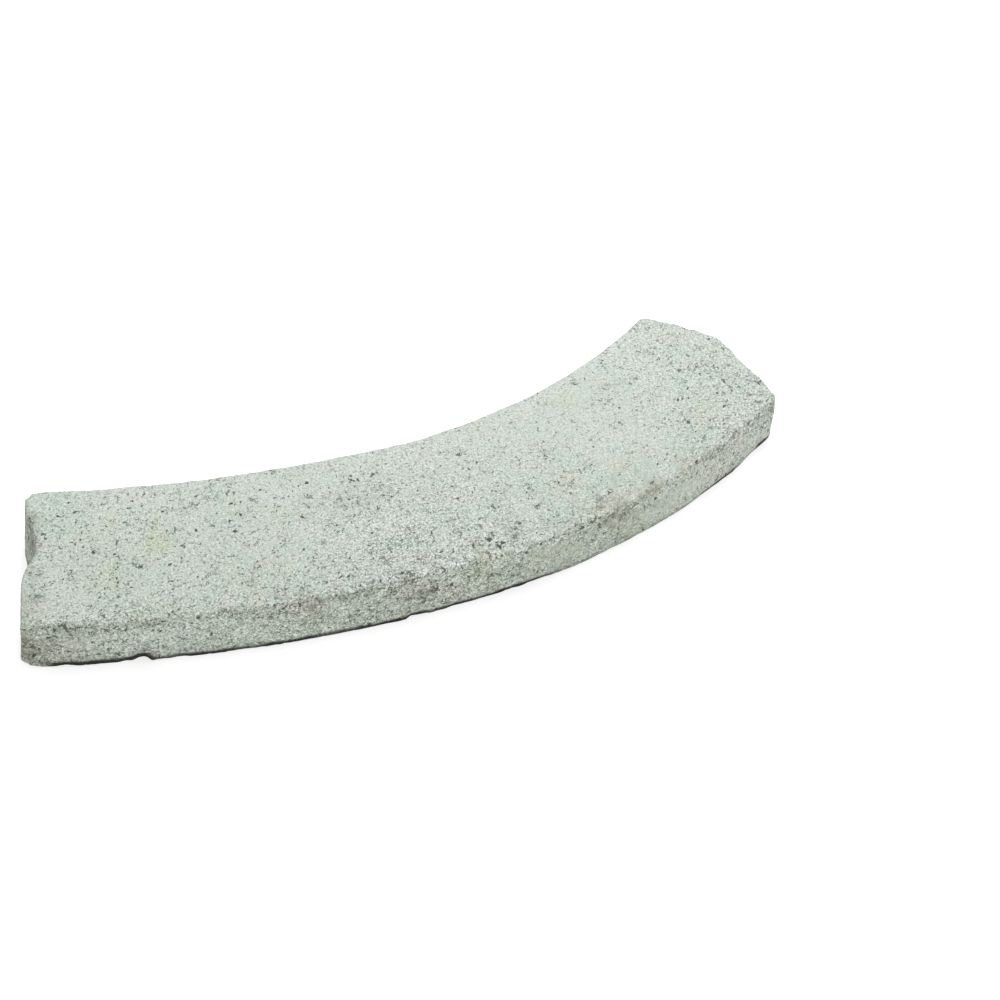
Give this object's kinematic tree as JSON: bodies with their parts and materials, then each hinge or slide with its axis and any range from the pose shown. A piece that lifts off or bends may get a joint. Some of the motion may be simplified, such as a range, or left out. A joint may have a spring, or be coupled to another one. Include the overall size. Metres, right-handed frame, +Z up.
{
  "type": "kerb stone",
  "caption": "Curved concrete kerb stone lying flat, with a blunt nose at one end and a shallow round recess for such a nose at the other.",
  "frame": {"origin": "on the base, on the middle line between the two long faces, where the gentle bend and the tight bend meet", "axes": "+X along the stone towards the nose, +Y towards the hollow side of the bend, +Z up"},
  "size_m": [0.6163, 0.1948, 0.05],
  "materials": {
    "concrete": "rough cast concrete, pale green-grey, with open pores, pale grains and darker stained sides"
  },
  "bodies": {
    "root": {"kerb_stone": "concrete"}
  },
  "joints": []
}
